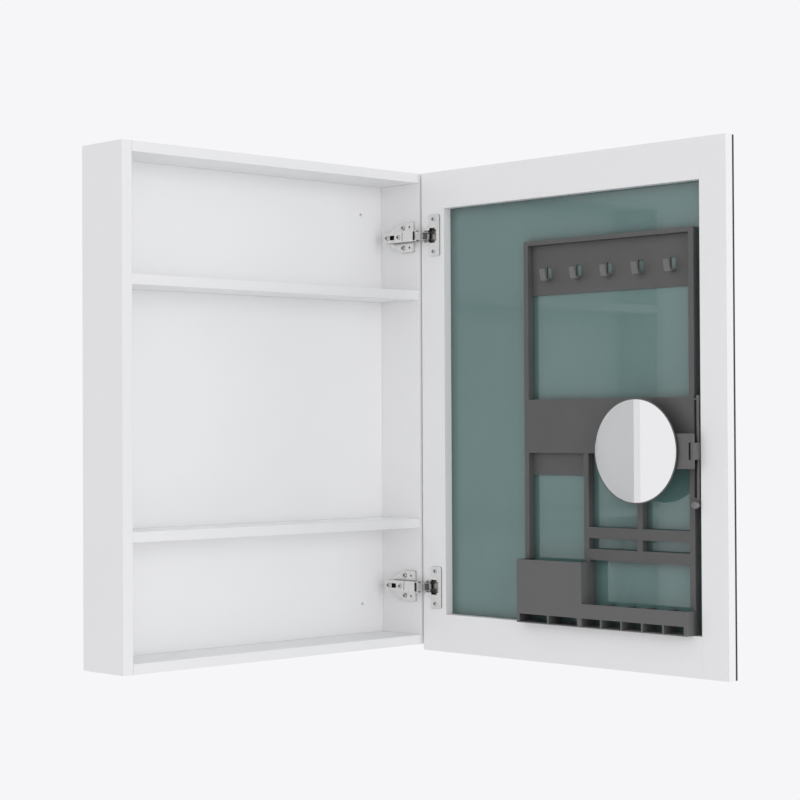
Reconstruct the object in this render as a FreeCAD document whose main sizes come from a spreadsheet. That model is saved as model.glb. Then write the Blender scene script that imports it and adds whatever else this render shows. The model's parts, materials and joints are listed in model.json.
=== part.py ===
import FreeCAD, Part
import math
import os
from types import SimpleNamespace

import Sketcher

# A mirrored medicine cabinet with its door open at a right angle.
# World frame: X to the right, Y towards the wall, Z up, origin in the middle of the back face.
# Door frame: X from the hinge edge along the door, Y from its inner face to the mirror, Z up.
# Hinge frame: origin on the inner front edge of the right side board, at the hinge's level.
# All lengths are millimetres and all angles degrees.

driving = {
    # carcass boards
    "cabinet_width": 610.0,
    "cabinet_height": 762.0,
    "carcass_depth": 96.0,
    "side_board": 18.0,
    "cross_board": 15.0,
    "back_board": 8.0,
    "back_lap": 9.0,
    "upper_shelf_drop": 190.0,
    "lower_shelf_rise": 203.0,
    "wall_hole_diameter": 5.5,
    "wall_hole_side_inset": 65.0,
    "wall_hole_end_inset": 63.0,
    # dowels and back screws
    "dowel_diameter": 8.0,
    "dowel_length": 30.0,
    "dowel_grip": 12.0,
    "dowel_inset": 24.0,
    "dowel_play": 0.05,
    "back_screw_diameter": 3.5,
    "back_screw_head": 7.0,
    "back_screw_length": 20.0,
    # door boards and mirror pane
    "door_drop": 9.0,
    "door_board": 15.0,
    "mirror_thickness": 5.0,
    "mirror_arris": 0.8,
    "hinge_stile_width": 51.0,
    "free_stile_width": 47.0,
    "door_rail_width": 60.0,
    "frame_dowel_diameter": 6.0,
    "frame_dowel_length": 40.0,
    # how the door stands to the carcass, open and closed
    "open_shift": 3.0,
    "open_gap": 3.5,
    "closed_gap": 3.0,
    # hinge pivots and play
    "hinge_end_distance": 102.0,
    "arm_pin_rise": 13.0,
    "arm_pin_reach": 6.0,
    "inner_pin_rise": 7.0,
    "inner_pin_reach": 2.0,
    "hinge_crank": 5.0,
    "inner_cup_setback": 8.0,
    "inner_cup_depth": 7.0,
    "pin_diameter": 3.0,
    "stub_diameter": 2.4,
    "pin_press": 0.02,
    "pin_running": 0.05,
    "link_play": 0.4,
    # hinge arm
    "arm_width": 17.0,
    "arm_sheet": 1.2,
    "arm_rise": 16.0,
    "arm_tail": 66.0,
    "arm_skirt": 4.0,
    "arm_nose": 3.4,
    "arm_roof_front": 2.0,
    "cam_start": 41.0,
    "cam_length": 10.5,
    "cam_width": 7.4,
    "slit_start": 22.0,
    "slit_width": 1.2,
    "clamp_screw_depth": 58.5,
    "side_screw_depth": 32.0,
    # hinge mounting plate
    "plate_sheet": 2.0,
    "plate_front": 9.0,
    "plate_wing_end": 37.0,
    "plate_wing_span": 49.0,
    "plate_tail": 64.0,
    "plate_tail_span": 27.0,
    "plate_corner": 3.0,
    "plate_lip_height": 2.4,
    "plate_lip_sheet": 1.4,
    "block_front": 25.0,
    "plate_screw_depth": 35.0,
    "plate_screw_span": 33.0,
    "spare_hole_depth": 20.0,
    "spare_hole_diameter": 3.6,
    "hinge_screw_diameter": 4.0,
    "hinge_screw_head": 7.6,
    "hinge_screw_head_height": 1.8,
    "hinge_screw_length": 13.0,
    "clamp_screw_length": 8.0,
    # hinge links
    "link_sheet": 1.7,
    "link_bar": 4.0,
    "link_end": 2.6,
    "link_web": 1.2,
    "inner_bar": 2.6,
    "inner_bow": 4.5,
    # hinge cup
    "cup_diameter": 35.0,
    "cup_setback": 20.5,
    "cup_depth": 12.2,
    "cup_floor": 1.0,
    "cup_play": 0.1,
    "cup_mouth_start": 4.4,
    "cup_notch_depth": 6.0,
    "cup_well_start": 19.0,
    "cup_well_end": 31.5,
    "cup_well_span": 24.0,
    "cup_far_play": 0.8,
    "cup_pin_grip": 1.5,
    "flange_start": 18.6,
    "flange_end": 42.0,
    "flange_span": 66.8,
    "flange_sheet": 1.4,
    "flange_corner": 3.0,
    "cup_screw_setback": 27.5,
    "cup_screw_span": 52.0,
    "cup_screw_diameter": 3.6,
    "cup_screw_head": 7.0,
    "cup_screw_head_height": 1.2,
    "cup_screw_length": 11.0,
    # organiser frame, bars and bins
    "organiser_width": 329.0,
    "organiser_side_gap": 14.0,
    "organiser_depth": 12.0,
    "organiser_corner": 2.0,
    "organiser_round": 1.8,
    "left_bar": 9.5,
    "right_bar": 9.0,
    "top_bar": 7.0,
    "moulding_wall": 2.2,
    "band_height": 81.7,
    "pocket_plate_drop": 34.0,
    "centre_bar_start": 121.0,
    "centre_bar": 9.0,
    "middle_bar_start": 223.0,
    "middle_bar": 10.0,
    "bin_bottom": 100.0,
    "bin_rail": 16.5,
    "bin_window": 16.0,
    # hook rail
    "hook_rail_height": 77.0,
    "hook_rail_sheet": 2.0,
    "hook_spacing": 60.0,
    "hook_width": 10.5,
    "hook_sill": 25.5,
    "hook_window": 17.5,
    "hook_base": 4.0,
    "hook_reach": 13.5,
    "hook_lean": 4.0,
    "hook_tongue": 13.8,
    "hook_tongue_sheet": 2.6,
    # bottom tray
    "tray_projection": 16.0,
    "tray_wall": 2.5,
    "tray_height": 35.0,
    "tray_floor": 1.6,
    "box_height": 96.5,
    "box_width": 130.4,
    "box_divider_drop": 8.0,
    "double_wall_gap": 3.3,
    "left_post": 5.0,
    "right_post": 6.5,
    "tray_post": 2.8,
    "tray_window": 13.5,
    # make-up mirror and its rod
    "rod_diameter": 5.0,
    "rod_side_gap": 8.0,
    "rod_depth": 2.0,
    "rod_length": 150.0,
    "rod_seat": 4.0,
    "lug_height": 3.0,
    "lug_reach": 4.5,
    "lug_depth": 8.0,
    "foot_lug_height": 13.0,
    "knob_diameter": 10.4,
    "knob_length": 7.5,
    "knob_stem": 4.0,
    "knob_neck": 4.5,
    "knob_stem_length": 5.0,
    "knob_round": 1.4,
    "knob_drop": 6.5,
    "bush_wall": 0.9,
    "knuckle_wall": 1.4,
    "knuckle_height": 24.0,
    "bush_collar": 0.6,
    "make_up_diameter": 154.0,
    "make_up_reach": 99.0,
    "bracket_offset": 15.0,
    "bracket_sheet": 2.0,
    "bracket_height": 50.5,
    "bracket_edge": 5.0,
    "bracket_length": 52.0,
    "bracket_slot_width": 4.0,
    "bracket_slot_height": 25.0,
    "bracket_slot_start": 5.6,
    "bracket_corner": 2.0,
    "strap_width": 5.0,
    "strap_inset": 0.8,
    "bracket_screw_diameter": 2.6,
    "bracket_screw_head": 5.0,
    "bracket_screw_head_height": 1.2,
    "bracket_screw_span": 26.0,
    "bracket_screw_start": 44.0,
    "housing_depth": 4.6,
    "housing_wall": 1.0,
    "housing_taper": 3.0,
    "glass_play": 0.1,
    "glass_thickness": 2.0,
    "glass_bevel": 0.8,
    # how far every cut runs past the solid
    "overrun": 1.0,
}

# pattern counts, and places given as shares of the size they follow
hook_count = 5
tray_bay_count = 5
box_bay_count = 2
full_turn = 360.0
quarter_turn = 90.0
half_quarter_turn = 45.0
side_screw_shares = (-0.8, 0.0, 0.8)
end_screw_shares = (-0.5, 0.5)
rail_dowel_shares = (-0.25, 0.25)
inner_neck_share = 0.44
organiser_height_share = 0.8986
band_top_share = 0.583
rod_bottom_share = 0.33
make_up_level_share = 0.45
web_share = 0.36


# The pole is the point about which the door as a whole turns a quarter between open and closed.
# It follows from where the hinge edge lies in both places. The outer cup pin stands one crank
# away from it, so that the outer link has the same length open and closed.
def hinge_pivots(size):
    swing = size["side_board"] - size["open_shift"]
    lag = size["closed_gap"] - size["open_gap"]
    pole_x = size["side_board"] - (swing + lag) / 2
    pole_y = -size["closed_gap"] - (swing - lag) / 2
    pole = FreeCAD.Vector(pole_x, pole_y, 0)
    arm_pin = FreeCAD.Vector(-size["arm_pin_rise"], -size["arm_pin_reach"], 0)
    inner_pin = FreeCAD.Vector(-size["inner_pin_rise"], -size["inner_pin_reach"], 0)
    towards_arm = arm_pin - pole
    crank = FreeCAD.Rotation(FreeCAD.Vector(0, 0, 1), half_quarter_turn).multVec(towards_arm)
    crank.normalize()
    cup_pin = pole + crank * size["hinge_crank"]
    inner_cup = FreeCAD.Vector(
        size["open_shift"] + size["inner_cup_depth"], -size["open_gap"] - size["inner_cup_setback"], 0
    )
    outer_link = cup_pin - arm_pin
    inner_link = inner_cup - inner_pin
    return {
        "cup_pin_setback": -cup_pin.y - size["open_gap"],
        "cup_pin_depth": cup_pin.x - size["open_shift"],
        "outer_link_length": outer_link.Length,
        "outer_link_angle": math.degrees(math.atan2(outer_link.y, outer_link.x)),
        "inner_link_length": inner_link.Length,
        "inner_link_angle": math.degrees(math.atan2(inner_link.y, inner_link.x)),
    }


# A length together with the sheet expression that gives it.
class Dim:
    def __init__(self, value, text):
        self.value = value
        self.text = text

    def __add__(self, other):
        return joined(self, "+", other)

    def __radd__(self, other):
        return joined(other, "+", self)

    def __sub__(self, other):
        return joined(self, "-", other)

    def __rsub__(self, other):
        return joined(other, "-", self)

    def __mul__(self, other):
        return joined(self, "*", other)

    def __rmul__(self, other):
        return joined(other, "*", self)

    def __truediv__(self, other):
        return joined(self, "/", other)

    def __neg__(self):
        return Dim(-self.value, f"(-{self.text})")


def as_dim(length):
    if isinstance(length, Dim):
        return length
    return Dim(float(length), f"({float(length)!r})")


def joined(first, sign, second):
    first = as_dim(first)
    second = as_dim(second)
    values = {
        "+": first.value + second.value,
        "-": first.value - second.value,
        "*": first.value * second.value,
    }
    value = first.value / second.value if sign == "/" else values[sign]
    return Dim(value, f"({first.text} {sign} {second.text})")


doc = FreeCAD.newDocument("medicine_cabinet")
sheet = doc.addObject("Spreadsheet::Sheet", "sizes")
values = {**driving, **hinge_pivots(driving)}
for row, (alias, value) in enumerate(values.items(), start=1):
    sheet.set(f"A{row}", alias)
    sheet.set(f"B{row}", repr(value))
    sheet.setAlias(f"B{row}", alias)
doc.recompute()
s = SimpleNamespace(**{alias: Dim(value, f"sizes.{alias}") for alias, value in values.items()})

# places that several pieces share
half_width = s.cabinet_width / 2
half_height = s.cabinet_height / 2
inner_side = half_width - s.side_board
inner_end = half_height - s.cross_board
upper_shelf_top = half_height - s.upper_shelf_drop
lower_shelf_top = s.lower_shelf_rise - half_height
shelf_back = -s.back_board
door_bottom = -half_height - s.door_drop
door_width = s.cabinet_width
recess_start = s.hinge_stile_width
recess_end = door_width - s.free_stile_width
recess_bottom = door_bottom + s.door_rail_width
recess_top = half_height - s.door_rail_width
door_x = inner_side + s.open_shift
door_y = -s.carcass_depth - s.open_gap
hinge_levels = {
    "upper": half_height - s.hinge_end_distance,
    "lower": door_bottom + s.hinge_end_distance,
}
axis_turns = {
    "x": FreeCAD.Rotation(FreeCAD.Vector(0, 1, 0), quarter_turn),
    "y": FreeCAD.Rotation(FreeCAD.Vector(1, 0, 0), -quarter_turn),
    "-y": FreeCAD.Rotation(FreeCAD.Vector(1, 0, 0), quarter_turn),
    "z": FreeCAD.Rotation(),
}
nodes = []


def bind(item, name, length):
    item.setExpression(name, as_dim(length).text)


def put(item, x, y, z):
    for name, length in zip("xyz", (x, y, z)):
        bind(item, f"Placement.Base.{name}", length)


# sets a piece in the door's frame, with its own origin at the given place there
def on_door(item, setback=0, depth=0, level=0):
    item.Placement = FreeCAD.Placement(
        FreeCAD.Vector(), FreeCAD.Rotation(FreeCAD.Vector(0, 0, 1), -quarter_turn)
    )
    put(item, door_x + depth, door_y - setback, as_dim(level))


def keep(item, label):
    item.Label = label
    nodes.append(item)
    return item


def box(name, low, high):
    item = doc.addObject("Part::Box", name)
    for side, start, end in zip(("Length", "Width", "Height"), low, high):
        bind(item, side, end - start)
    put(item, *low)
    return item


def cylinder(name, start, axis, radius, length):
    item = doc.addObject("Part::Cylinder", name)
    item.Placement = FreeCAD.Placement(FreeCAD.Vector(), axis_turns[axis])
    put(item, *start)
    bind(item, "Radius", radius)
    bind(item, "Height", length)
    return item


def cone(name, start, axis, first_radius, second_radius, length):
    item = doc.addObject("Part::Cone", name)
    item.Placement = FreeCAD.Placement(FreeCAD.Vector(), axis_turns[axis])
    put(item, *start)
    bind(item, "Radius1", first_radius)
    bind(item, "Radius2", second_radius)
    bind(item, "Height", length)
    return item


def group(name, items):
    item = doc.addObject("Part::Compound", name)
    item.Links = items
    return item


def cut(name, base, cutters):
    item = doc.addObject("Part::Cut", name)
    item.Base = base
    item.Tool = group(f"{name}_cuts", cutters)
    return item


def fuse(name, items):
    item = doc.addObject("Part::MultiFuse", name)
    item.Shapes = items
    return item


def new_body(label):
    return keep(doc.addObject("PartDesign::Body", label), label)


def sketch_on(body, role, offset):
    sketch = body.newObject("Sketcher::SketchObject", f"{body.Name}_sketch")
    plane = next(item for item in body.Origin.OriginFeatures if item.Role == role)
    sketch.AttachmentSupport = [(plane, "")]
    sketch.MapMode = "FlatFace"
    bind(sketch, "AttachmentOffset.Base.z", offset)
    return sketch


# ties a point of a sketch to the sketch's origin
def tie(sketch, element, point, place):
    for kind, length in zip(("DistanceX", "DistanceY"), place):
        length = as_dim(length)
        number = sketch.addConstraint(Sketcher.Constraint(kind, -1, 1, element, point, length.value))
        sketch.setExpression(f"Constraints[{number}]", length.text)


def outline(sketch, corners):
    first = sketch.GeometryCount
    count = len(corners)
    points = [FreeCAD.Vector(as_dim(across).value, as_dim(up).value, 0) for across, up in corners]
    for number in range(count):
        sketch.addGeometry(Part.LineSegment(points[number], points[(number + 1) % count]), False)
    for number in range(count):
        following = first + (number + 1) % count
        sketch.addConstraint(Sketcher.Constraint("Coincident", first + number, 2, following, 1))
    for number, corner in enumerate(corners):
        tie(sketch, first + number, 1, corner)


def rectangle(sketch, left, bottom, right, top):
    outline(sketch, [(left, bottom), (right, bottom), (right, top), (left, top)])


def circle(sketch, centre, radius):
    across, up = (as_dim(length) for length in centre)
    middle = FreeCAD.Vector(across.value, up.value, 0)
    element = sketch.addGeometry(Part.Circle(middle, FreeCAD.Vector(0, 0, 1), radius.value), False)
    tie(sketch, element, 3, (across, up))
    number = sketch.addConstraint(Sketcher.Constraint("Radius", element, radius.value))
    sketch.setExpression(f"Constraints[{number}]", radius.text)


def pad(body, sketch, length, both_ways=False):
    feature = body.newObject("PartDesign::Pad", f"{body.Name}_pad")
    feature.Profile = sketch
    feature.SideType = "Symmetric" if both_ways else "One side"
    bind(feature, "Length", length)
    doc.recompute()
    return feature


def pocket(body, sketch, length, both_ways=False):
    before = body.Shape.Volume
    feature = body.newObject("PartDesign::Pocket", f"{body.Name}_pocket")
    feature.Profile = sketch
    feature.SideType = "Symmetric" if both_ways else "One side"
    bind(feature, "Length", length)
    doc.recompute()
    if body.Shape.Volume >= before:
        raise RuntimeError(f"{feature.Name} cuts nothing")
    return feature


def revolve(body, sketch):
    feature = body.newObject("PartDesign::Revolution", f"{body.Name}_revolution")
    feature.Profile = sketch
    feature.ReferenceAxis = (sketch, ["V_Axis"])
    feature.Angle = full_turn
    doc.recompute()
    return feature


def repeat(body, features, sketch, length, count):
    feature = body.newObject("PartDesign::LinearPattern", f"{body.Name}_pattern")
    feature.Originals = features
    feature.Direction = (sketch, ["H_Axis"])
    bind(feature, "Length", length)
    feature.Occurrences = count
    body.Tip = feature
    doc.recompute()
    return feature


# rounds the straight edges along one direction whose middles satisfy the choice
def round_edges(body, along, radius, choose=lambda middle: True):
    tip = body.Tip
    names = []
    for number, edge in enumerate(tip.Shape.Edges, start=1):
        if edge.Curve.TypeId != "Part::GeomLine":
            continue
        parallel = edge.tangentAt(edge.FirstParameter).cross(along).Length
        if math.isclose(parallel, 0, abs_tol=Part.Precision.confusion()) and choose(edge.CenterOfMass):
            names.append(f"Edge{number}")
    feature = body.newObject("PartDesign::Fillet", f"{body.Name}_fillet")
    feature.Base = (tip, names)
    bind(feature, "Radius", radius)
    doc.recompute()
    return feature


# pads a door-frame outline between two depths, near one first
def slab(body, draw, near, far):
    sketch = sketch_on(body, "XZ_Plane", -as_dim(far))
    draw(sketch)
    return pad(body, sketch, far - near)


# cuts a door-frame outline from one depth towards the mirror
def sink(body, draw, near, length):
    sketch = sketch_on(body, "XZ_Plane", -as_dim(near))
    draw(sketch)
    return pocket(body, sketch, length)


x_way = FreeCAD.Vector(1, 0, 0)
y_way = FreeCAD.Vector(0, 1, 0)
z_way = FreeCAD.Vector(0, 0, 1)

# CARCASS
# dowels across each corner and each shelf end, two to a joint
dowel_radius = s.dowel_diameter / 2
dowel_hole_radius = dowel_radius + s.dowel_play
cross_levels = {
    "top_panel": half_height - s.cross_board / 2,
    "bottom_panel": -half_height + s.cross_board / 2,
    "upper_shelf": upper_shelf_top - s.cross_board / 2,
    "lower_shelf": lower_shelf_top - s.cross_board / 2,
}
dowel_depths = (-s.carcass_depth + s.dowel_inset, -s.back_board - s.dowel_inset)


def dowel_row(name, side, levels, radius, play):
    start = inner_side - s.dowel_length + s.dowel_grip - play
    if side < 0:
        start = -inner_side - s.dowel_grip - play
    places = [(start, depth, level) for level in levels for depth in dowel_depths]
    length = s.dowel_length + 2 * play
    return [cylinder(f"{name}_{number}", place, "x", radius, length) for number, place in enumerate(places)]


all_levels = list(cross_levels.values())
dowels = [
    dowel
    for side in (-1, 1)
    for dowel in dowel_row("carcass_dowel", side, all_levels, dowel_radius, as_dim(0))
]
keep(group("carcass_dowels", dowels), "carcass_dowels")


# countersunk screws through the back board into the rabbets of the boards round it
lap_middle_x = inner_side + s.back_lap / 2
lap_middle_z = inner_end + s.back_lap / 2
back_screw_places = [
    (side * lap_middle_x, share * inner_end) for side in (-1, 1) for share in side_screw_shares
]
back_screw_places += [
    (share * inner_side, end * lap_middle_z) for end in (-1, 1) for share in end_screw_shares
]
head_radius = s.back_screw_head / 2
screw_radius = s.back_screw_diameter / 2
head_height = head_radius - screw_radius


def back_screw(name, place, play):
    x, z = place
    head = cone(f"{name}_head", (x, as_dim(0), z), "-y", head_radius + play, screw_radius + play, head_height)
    shank = cylinder(f"{name}_shank", (x, as_dim(0), z), "-y", screw_radius + play, s.back_screw_length + play)
    return fuse(name, [head, shank])


screws = [
    back_screw(f"back_screw_{number}", place, as_dim(0))
    for number, place in enumerate(back_screw_places)
]
keep(group("back_panel_screws", screws), "back_panel_screws")


def screw_holes(name, places):
    return [
        back_screw(f"{name}_screw_hole_{number}", place, s.dowel_play)
        for number, place in enumerate(places)
    ]


# side boards run the full height, rabbeted for the back
def side_panel(label, side):
    outer = side * half_width
    inner = side * inner_side
    low_x, high_x = (outer, inner) if side < 0 else (inner, outer)
    board = box(f"{label}_board", (low_x, -s.carcass_depth, -half_height), (high_x, as_dim(0), half_height))
    lap = side * (inner_side + s.back_lap)
    lap_low, lap_high = (lap, inner + s.overrun) if side < 0 else (inner - s.overrun, lap)
    rabbet = box(
        f"{label}_rabbet",
        (lap_low, -s.back_board, -inner_end - s.back_lap),
        (lap_high, s.overrun, inner_end + s.back_lap),
    )
    cutters = [rabbet]
    cutters += dowel_row(f"{label}_dowel_hole", side, all_levels, dowel_hole_radius, s.dowel_play)
    places = [place for place in back_screw_places if place[0].value * side > inner_side.value]
    cutters += screw_holes(label, places)
    return board, cutters


left_board, left_cutters = side_panel("left_side_panel", -1)
keep(cut("left_side_panel", left_board, left_cutters), "left_side_panel")

right_board, right_cutters = side_panel("right_side_panel", 1)
plate_screw_depth = -s.carcass_depth + s.plate_screw_depth
for level_name, level in hinge_levels.items():
    for end in (-1, 1):
        right_cutters.append(
            cylinder(
                f"{level_name}_pilot_hole",
                (inner_side - s.overrun, plate_screw_depth, level + end * s.plate_screw_span / 2),
                "x",
                s.hinge_screw_diameter / 2 + s.dowel_play,
                s.hinge_screw_length + s.overrun + s.dowel_play,
            )
        )
keep(cut("right_side_panel", right_board, right_cutters), "right_side_panel")


# boards between the sides; top and bottom are rabbeted for the back, shelves stop against it
def cross_panel(label, level, end):
    back = as_dim(0) if end else shelf_back
    board = box(
        f"{label}_board",
        (-inner_side, -s.carcass_depth, level - s.cross_board / 2),
        (inner_side, back, level + s.cross_board / 2),
    )
    cutters = []
    for side in (-1, 1):
        cutters += dowel_row(f"{label}_dowel_hole", side, [level], dowel_hole_radius, s.dowel_play)
    if end:
        lap = end * (inner_end + s.back_lap)
        inside = end * (inner_end - s.overrun)
        low, high = (lap, inside) if end < 0 else (inside, lap)
        over = inner_side + s.overrun
        cutters.append(box(f"{label}_rabbet", (-over, -s.back_board, low), (over, s.overrun, high)))
        places = [place for place in back_screw_places if place[1].value * end > inner_end.value]
        cutters += screw_holes(label, places)
    keep(cut(label, board, cutters), label)


for label, level in cross_levels.items():
    cross_panel(label, level, {"top_panel": 1, "bottom_panel": -1}.get(label, 0))

back_sheet = box(
    "back_sheet",
    (-inner_side - s.back_lap, -s.back_board, -inner_end - s.back_lap),
    (inner_side + s.back_lap, as_dim(0), inner_end + s.back_lap),
)
wall_hole_x = half_width - s.wall_hole_side_inset
wall_hole_z = half_height - s.wall_hole_end_inset
wall_holes = [
    cylinder(
        "wall_hole",
        (side * wall_hole_x, -s.back_board - s.overrun, end * wall_hole_z),
        "y",
        s.wall_hole_diameter / 2,
        s.back_board + 2 * s.overrun,
    )
    for side in (-1, 1)
    for end in (-1, 1)
]
keep(cut("back_panel", back_sheet, wall_holes + screw_holes("back_panel", back_screw_places)), "back_panel")

# HINGES
pin_radius = s.pin_diameter / 2
arm_half = s.arm_width / 2
arm_inner_half = arm_half - s.arm_sheet
link_half = arm_inner_half - s.link_play
inner_half = link_half - s.link_sheet - 2 * s.link_play
stub_half = inner_half + s.link_play
arm_under = s.arm_rise - s.arm_sheet
block_half = arm_inner_half - s.link_play
arm_pin_place = (-s.arm_pin_rise, -s.arm_pin_reach)
inner_pin_place = (-s.inner_pin_rise, -s.inner_pin_reach)
arm_front = -s.arm_pin_reach - s.arm_nose
half_cam = s.cam_width / 2


def on_board(item, level, x=0, y=0):
    put(item, inner_side + x, y - s.carcass_depth, level)


# a winged steel plate with a folded front lip; its block carries the arm and has a well for the cam
def mounting_plate(label, level):
    body = new_body(label)
    wing = s.plate_wing_span / 2
    tail = s.plate_tail_span / 2
    sketch = sketch_on(body, "YZ_Plane", -s.plate_sheet)
    outline(
        sketch,
        [
            (s.plate_front, -wing),
            (s.plate_wing_end, -wing),
            (s.plate_tail, -tail),
            (s.plate_tail, tail),
            (s.plate_wing_end, wing),
            (s.plate_front, wing),
        ],
    )
    pad(body, sketch, s.plate_sheet)
    round_edges(body, x_way, s.plate_corner)
    lip = sketch_on(body, "YZ_Plane", -s.plate_sheet - s.plate_lip_height)
    lip_end = wing - s.plate_corner
    for end in (-1, 1):
        low, high = sorted((end * (arm_half + s.link_play), end * lip_end), key=lambda place: place.value)
        rectangle(lip, s.plate_front, low, s.plate_front + s.plate_lip_sheet, high)
    pad(body, lip, s.plate_lip_height + s.plate_sheet)
    block = sketch_on(body, "YZ_Plane", -arm_under)
    rectangle(block, s.block_front, -block_half, s.plate_tail, block_half)
    pad(body, block, arm_under)
    holes = sketch_on(body, "YZ_Plane", as_dim(0))
    for end in (-1, 1):
        height = end * s.plate_screw_span / 2
        circle(holes, (s.plate_screw_depth, height), s.hinge_screw_diameter / 2 + s.dowel_play)
        circle(holes, (s.spare_hole_depth, height), s.spare_hole_diameter / 2)
    pocket(body, holes, s.plate_sheet + s.overrun)
    taps = sketch_on(body, "YZ_Plane", -arm_under + s.clamp_screw_length)
    for depth in (s.clamp_screw_depth, s.side_screw_depth):
        circle(taps, (depth, as_dim(0)), s.hinge_screw_diameter / 2 + s.dowel_play)
    pocket(body, taps, s.clamp_screw_length + s.overrun)
    cam_well = sketch_on(body, "YZ_Plane", -arm_under + s.clamp_screw_length)
    rectangle(cam_well, s.cam_start, -half_cam, s.cam_start + s.cam_length, half_cam)
    pocket(body, cam_well, s.clamp_screw_length + s.overrun)
    on_board(body, level)


# the arm is a folded channel: cheeks drop towards the board, the roof stops short of the links
def hinge_arm(label, level):
    body = new_body(label)
    sketch = sketch_on(body, "XY_Plane", as_dim(0))
    outline(
        sketch,
        [
            (-s.arm_rise, s.arm_tail),
            (-s.arm_rise, arm_front),
            (-s.inner_pin_rise - s.arm_skirt, arm_front),
            (-s.inner_pin_rise + s.arm_sheet, -s.inner_pin_reach - s.arm_nose),
            (-s.arm_skirt, -s.inner_pin_reach - s.arm_sheet),
            (-s.arm_skirt, s.clamp_screw_depth),
            (-s.inner_pin_rise, s.arm_tail),
        ],
    )
    pad(body, sketch, s.arm_width, both_ways=True)
    beyond_pin = -driving["arm_pin_rise"]
    round_edges(body, z_way, s.plate_corner, lambda middle: middle.y < 0 and middle.x < beyond_pin)
    hollow = sketch_on(body, "XY_Plane", as_dim(0))
    beyond = s.arm_rise + s.overrun
    outline(
        hollow,
        [
            (-beyond, arm_front - s.overrun),
            (as_dim(0), arm_front - s.overrun),
            (as_dim(0), s.arm_tail + s.overrun),
            (-arm_under, s.arm_tail + s.overrun),
            (-arm_under, -s.arm_roof_front),
            (-beyond, -s.arm_roof_front),
        ],
    )
    pocket(body, hollow, 2 * arm_inner_half, both_ways=True)
    holes = sketch_on(body, "XY_Plane", as_dim(0))
    for place in (arm_pin_place, inner_pin_place):
        circle(holes, place, pin_radius + s.pin_press)
    pocket(body, holes, s.arm_width + s.overrun, both_ways=True)
    roof = sketch_on(body, "YZ_Plane", -arm_under)
    rectangle(roof, s.cam_start, -half_cam, s.cam_start + s.cam_length, half_cam)
    half_slit = arm_inner_half - s.link_play
    rectangle(roof, s.slit_start, -half_slit, s.slit_start + s.slit_width, half_slit)
    for depth in (s.clamp_screw_depth, s.side_screw_depth):
        circle(roof, (depth, as_dim(0)), s.hinge_screw_diameter / 2 + s.dowel_play)
    pocket(body, roof, s.arm_sheet + s.overrun)
    on_board(body, level)


# the outer link straddles the inner one: two cheeks and a short web at the arm's end
def outer_link(label, level):
    body = new_body(label)
    half_bar = s.link_bar / 2
    length = s.outer_link_length
    profile = sketch_on(body, "XY_Plane", as_dim(0))
    rectangle(profile, as_dim(0), -half_bar, length, half_bar)
    pad(body, profile, 2 * link_half, both_ways=True)
    ends = sketch_on(body, "XY_Plane", as_dim(0))
    circle(ends, (as_dim(0), as_dim(0)), s.link_end)
    circle(ends, (length, as_dim(0)), s.link_end)
    pad(body, ends, 2 * link_half, both_ways=True)
    middle = sketch_on(body, "XY_Plane", as_dim(0))
    beyond = s.link_end + s.overrun
    web_end = web_share * length
    outline(
        middle,
        [
            (-beyond, -s.link_end + s.link_web),
            (web_end, -s.link_end + s.link_web),
            (web_end, -beyond),
            (length + beyond, -beyond),
            (length + beyond, beyond),
            (-beyond, beyond),
        ],
    )
    pocket(body, middle, 2 * (link_half - s.link_sheet), both_ways=True)
    web = sketch_on(body, "XY_Plane", as_dim(0))
    rectangle(web, as_dim(0), -s.link_end, web_end, -s.link_end + s.link_web)
    pad(body, web, 2 * link_half, both_ways=True)
    holes = sketch_on(body, "XY_Plane", as_dim(0))
    for place in (as_dim(0), length):
        circle(holes, (place, as_dim(0)), pin_radius + s.pin_running)
    pocket(body, holes, 2 * link_half + s.overrun, both_ways=True)
    on_board(body, level, *arm_pin_place)
    bind(body, "Placement.Rotation.Angle", s.outer_link_angle)


# the inner link is cranked, so that the rim of the door's bore clears it
def inner_link(label, level):
    body = new_body(label)
    half_bar = s.inner_bar / 2
    length = s.inner_link_length
    neck = inner_neck_share * length
    profile = sketch_on(body, "XY_Plane", as_dim(0))
    outline(
        profile,
        [
            (as_dim(0), -half_bar),
            (neck, -s.inner_bow - half_bar),
            (length, -half_bar),
            (length, half_bar),
            (neck, -s.inner_bow + half_bar),
            (as_dim(0), half_bar),
        ],
    )
    pad(body, profile, 2 * inner_half, both_ways=True)
    ends = sketch_on(body, "XY_Plane", as_dim(0))
    circle(ends, (as_dim(0), as_dim(0)), s.link_end)
    circle(ends, (length, as_dim(0)), s.link_end)
    pad(body, ends, 2 * inner_half, both_ways=True)
    holes = sketch_on(body, "XY_Plane", as_dim(0))
    circle(holes, (as_dim(0), as_dim(0)), pin_radius + s.pin_running)
    circle(holes, (length, as_dim(0)), s.stub_diameter / 2 + s.pin_press)
    pocket(body, holes, 2 * inner_half + s.overrun, both_ways=True)
    on_board(body, level, *inner_pin_place)
    bind(body, "Placement.Rotation.Angle", s.inner_link_angle)


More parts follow.
